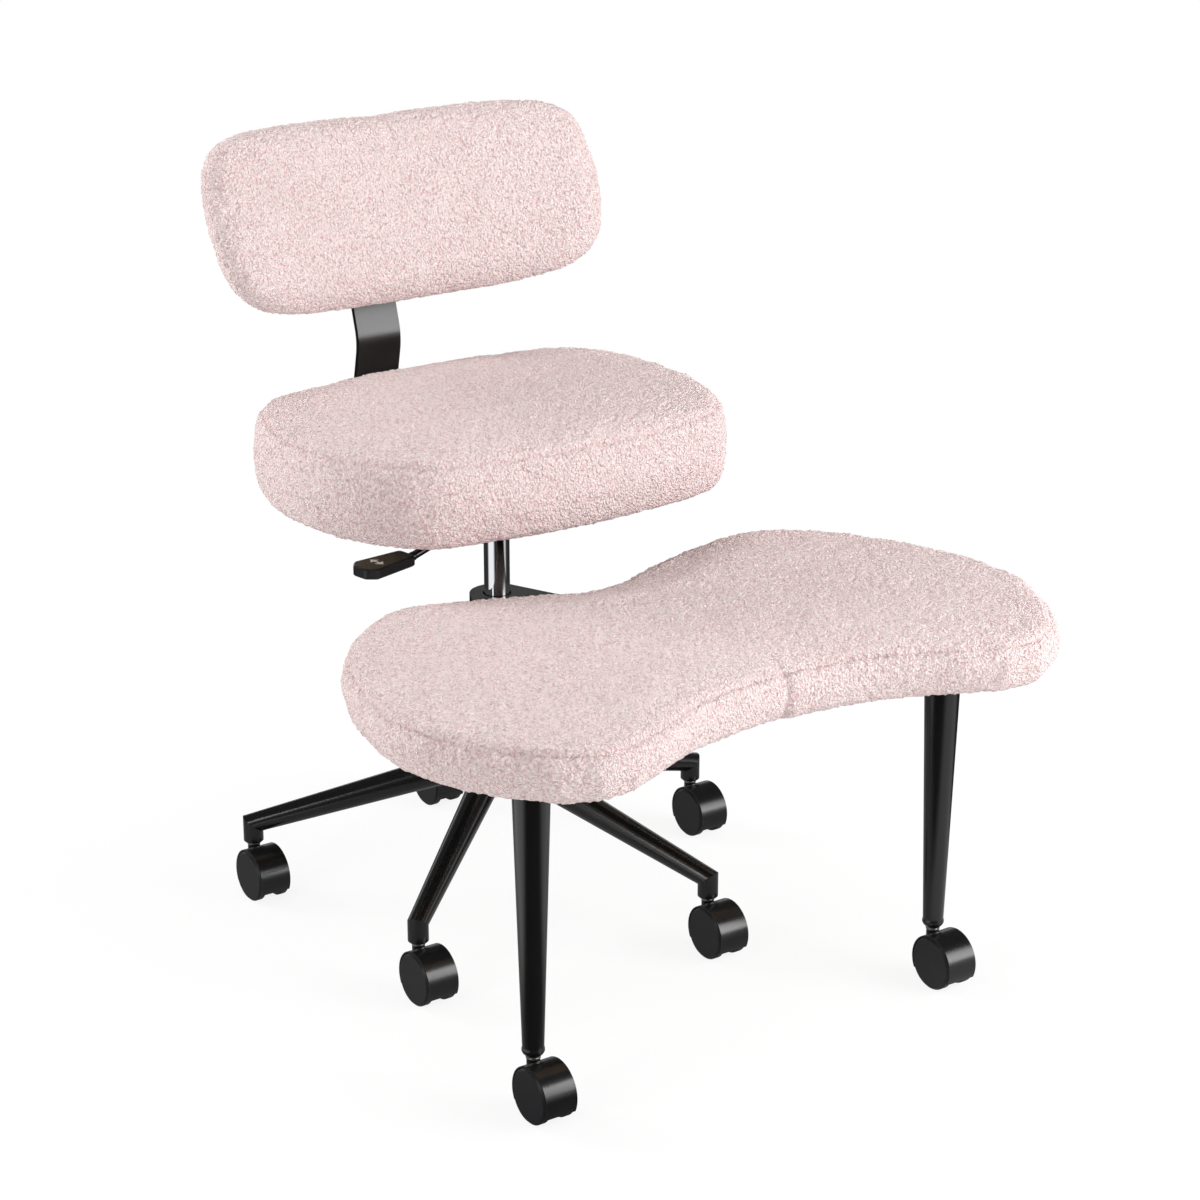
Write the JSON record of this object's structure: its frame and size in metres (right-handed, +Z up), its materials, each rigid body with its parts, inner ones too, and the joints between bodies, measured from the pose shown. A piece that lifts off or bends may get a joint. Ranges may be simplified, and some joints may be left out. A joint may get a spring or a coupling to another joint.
{
  "type": "office chair with swivelling footstool",
  "caption": "Ergonomic office chair: padded seat and backrest on a gas lift and a castored star base, with a kidney-shaped castored footstool that swings round the column.",
  "frame": {"origin": "on the floor under the gas lift's axis", "axes": "+Z up along the gas lift; -Y is the way the sitter and the footstool face; +X to the left-hand side of somebody sitting in the chair"},
  "size_m": [0.7574, 0.8755, 0.8356],
  "materials": {
    "black_steel": "satin black powder coat",
    "chrome_tube": "polished",
    "bush_plastic": "plain moulded",
    "black_plastic": "satin moulded",
    "wheel_plastic": "fine matte grain",
    "pink_boucle": "curly loop-pile cloth",
    "plywood": "plain sanded",
    "zinc_steel": "zinc plated"
  },
  "bodies": {
    "base": {"base_hub": "black_steel", "base_legs": "black_steel", "base_castor_stems": "zinc_steel", "lift_tube": "black_steel", "lift_bush": "bush_plastic", "thrust_bearing": "zinc_steel", "arm_bush": "black_plastic"},
    "lift": {"lift_rod": "zinc_steel", "lift_clip": "zinc_steel"},
    "seat": {"lift_cylinder": "chrome_tube", "seat_plate": "black_steel", "lever_pin": "zinc_steel", "seat_board": "plywood", "seat_cushion": "pink_boucle", "seat_bolts": "zinc_steel", "back_bar": "black_steel", "bar_bolts": "zinc_steel", "back_board": "plywood", "back_cushion": "pink_boucle", "back_bolts": "zinc_steel"},
    "lever": {"lever_rod": "black_steel", "lever_paddle": "black_plastic"},
    "release": {"release_pin": "zinc_steel"},
    "stool": {"stool_arm": "black_steel", "arm_screws": "zinc_steel", "stool_board": "plywood", "stool_cushion": "pink_boucle", "stool_leg_left": "black_steel", "stool_leg_right": "black_steel", "leg_plates": "black_steel", "leg_screws": "zinc_steel", "stool_castor_stems": "zinc_steel"},
    "castor_1": {"castor_1_hood": "black_plastic", "castor_1_axle": "zinc_steel"},
    "castor_1_left": {"castor_1_wheel_left": "wheel_plastic"},
    "castor_1_right": {"castor_1_wheel_right": "wheel_plastic"},
    "castor_2": {"castor_2_hood": "black_plastic", "castor_2_axle": "zinc_steel"},
    "castor_2_left": {"castor_2_wheel_left": "wheel_plastic"},
    "castor_2_right": {"castor_2_wheel_right": "wheel_plastic"},
    "castor_3": {"castor_3_hood": "black_plastic", "castor_3_axle": "zinc_steel"},
    "castor_3_left": {"castor_3_wheel_left": "wheel_plastic"},
    "castor_3_right": {"castor_3_wheel_right": "wheel_plastic"},
    "castor_4": {"castor_4_hood": "black_plastic", "castor_4_axle": "zinc_steel"},
    "castor_4_left": {"castor_4_wheel_left": "wheel_plastic"},
    "castor_4_right": {"castor_4_wheel_right": "wheel_plastic"},
    "castor_5": {"castor_5_hood": "black_plastic", "castor_5_axle": "zinc_steel"},
    "castor_5_left": {"castor_5_wheel_left": "wheel_plastic"},
    "castor_5_right": {"castor_5_wheel_right": "wheel_plastic"},
    "castor_6": {"castor_6_hood": "black_plastic", "castor_6_axle": "zinc_steel"},
    "castor_6_left": {"castor_6_wheel_left": "wheel_plastic"},
    "castor_6_right": {"castor_6_wheel_right": "wheel_plastic"},
    "castor_7": {"castor_7_hood": "black_plastic", "castor_7_axle": "zinc_steel"},
    "castor_7_left": {"castor_7_wheel_left": "wheel_plastic"},
    "castor_7_right": {"castor_7_wheel_right": "wheel_plastic"}
  },
  "joints": [
    {"name": "seat_swivel", "type": "hinge", "parent": "base", "child": "lift", "pos_m": [0, 0, 0.13], "axis": [0, 0, 1], "continuous": true},
    {"name": "seat_lift", "type": "slide", "parent": "lift", "child": "seat", "axis": [0, 0, 1], "range_m": [-0.035, 0.045]},
    {"name": "lever_tilt", "type": "hinge", "parent": "seat", "child": "lever", "pos_m": [-0.024, -0.0165, 0.449], "axis": [0, 1, 0], "range_deg": [0, 7], "stiffness_Nm_per_rad": 6, "springref_deg": -2.86},
    {"name": "release_stroke", "type": "slide", "parent": "seat", "child": "release", "axis": [0, 0, -1], "range_m": [0, 0.0034]},
    {"name": "stool_swivel", "type": "hinge", "parent": "base", "child": "stool", "pos_m": [0, 0, 0.33], "axis": [0, 0, 1], "continuous": true},
    {"name": "castor_1_swivel", "type": "hinge", "parent": "base", "child": "castor_1", "pos_m": [0.27257, 0.01524, 0.05], "axis": [0, 0, 1], "continuous": true},
    {"name": "castor_2_swivel", "type": "hinge", "parent": "base", "child": "castor_2", "pos_m": [0.06974, 0.26394, 0.05], "axis": [0, 0, 1], "continuous": true},
    {"name": "castor_3_swivel", "type": "hinge", "parent": "base", "child": "castor_3", "pos_m": [-0.22947, 0.14789, 0.05], "axis": [0, 0, 1], "continuous": true},
    {"name": "castor_4_swivel", "type": "hinge", "parent": "base", "child": "castor_4", "pos_m": [-0.21156, -0.17254, 0.05], "axis": [0, 0, 1], "continuous": true},
    {"name": "castor_5_swivel", "type": "hinge", "parent": "base", "child": "castor_5", "pos_m": [0.09872, -0.25452, 0.05], "axis": [0, 0, 1], "continuous": true},
    {"name": "castor_6_swivel", "type": "hinge", "parent": "stool", "child": "castor_6", "pos_m": [-0.2495, -0.445, 0.05], "axis": [0, 0, 1], "continuous": true},
    {"name": "castor_7_swivel", "type": "hinge", "parent": "stool", "child": "castor_7", "pos_m": [0.2495, -0.445, 0.05], "axis": [0, 0, 1], "continuous": true},
    {"name": "castor_1_left_spin", "type": "hinge", "parent": "castor_1", "child": "castor_1_left", "pos_m": [0.27257, -0.00406, 0.028], "axis": [1, 0, 0], "continuous": true},
    {"name": "castor_1_right_spin", "type": "hinge", "parent": "castor_1", "child": "castor_1_right", "pos_m": [0.27257, -0.00406, 0.028], "axis": [1, 0, 0], "continuous": true},
    {"name": "castor_2_left_spin", "type": "hinge", "parent": "castor_2", "child": "castor_2_left", "pos_m": [0.06974, 0.24464, 0.028], "axis": [1, 0, 0], "continuous": true},
    {"name": "castor_2_right_spin", "type": "hinge", "parent": "castor_2", "child": "castor_2_right", "pos_m": [0.06974, 0.24464, 0.028], "axis": [1, 0, 0], "continuous": true},
    {"name": "castor_3_left_spin", "type": "hinge", "parent": "castor_3", "child": "castor_3_left", "pos_m": [-0.22947, 0.12859, 0.028], "axis": [1, 0, 0], "continuous": true},
    {"name": "castor_3_right_spin", "type": "hinge", "parent": "castor_3", "child": "castor_3_right", "pos_m": [-0.22947, 0.12859, 0.028], "axis": [1, 0, 0], "continuous": true},
    {"name": "castor_4_left_spin", "type": "hinge", "parent": "castor_4", "child": "castor_4_left", "pos_m": [-0.21156, -0.19184, 0.028], "axis": [1, 0, 0], "continuous": true},
    {"name": "castor_4_right_spin", "type": "hinge", "parent": "castor_4", "child": "castor_4_right", "pos_m": [-0.21156, -0.19184, 0.028], "axis": [1, 0, 0], "continuous": true},
    {"name": "castor_5_left_spin", "type": "hinge", "parent": "castor_5", "child": "castor_5_left", "pos_m": [0.09872, -0.27382, 0.028], "axis": [1, 0, 0], "continuous": true},
    {"name": "castor_5_right_spin", "type": "hinge", "parent": "castor_5", "child": "castor_5_right", "pos_m": [0.09872, -0.27382, 0.028], "axis": [1, 0, 0], "continuous": true},
    {"name": "castor_6_left_spin", "type": "hinge", "parent": "castor_6", "child": "castor_6_left", "pos_m": [-0.2495, -0.4643, 0.028], "axis": [1, 0, 0], "continuous": true},
    {"name": "castor_6_right_spin", "type": "hinge", "parent": "castor_6", "child": "castor_6_right", "pos_m": [-0.2495, -0.4643, 0.028], "axis": [1, 0, 0], "continuous": true},
    {"name": "castor_7_left_spin", "type": "hinge", "parent": "castor_7", "child": "castor_7_left", "pos_m": [0.2495, -0.4643, 0.028], "axis": [1, 0, 0], "continuous": true},
    {"name": "castor_7_right_spin", "type": "hinge", "parent": "castor_7", "child": "castor_7_right", "pos_m": [0.2495, -0.4643, 0.028], "axis": [1, 0, 0], "continuous": true}
  ],
  "couplings": [
    {"joint": "release_stroke", "follows": "lever_tilt", "m_per_rad": 0.027}
  ]
}
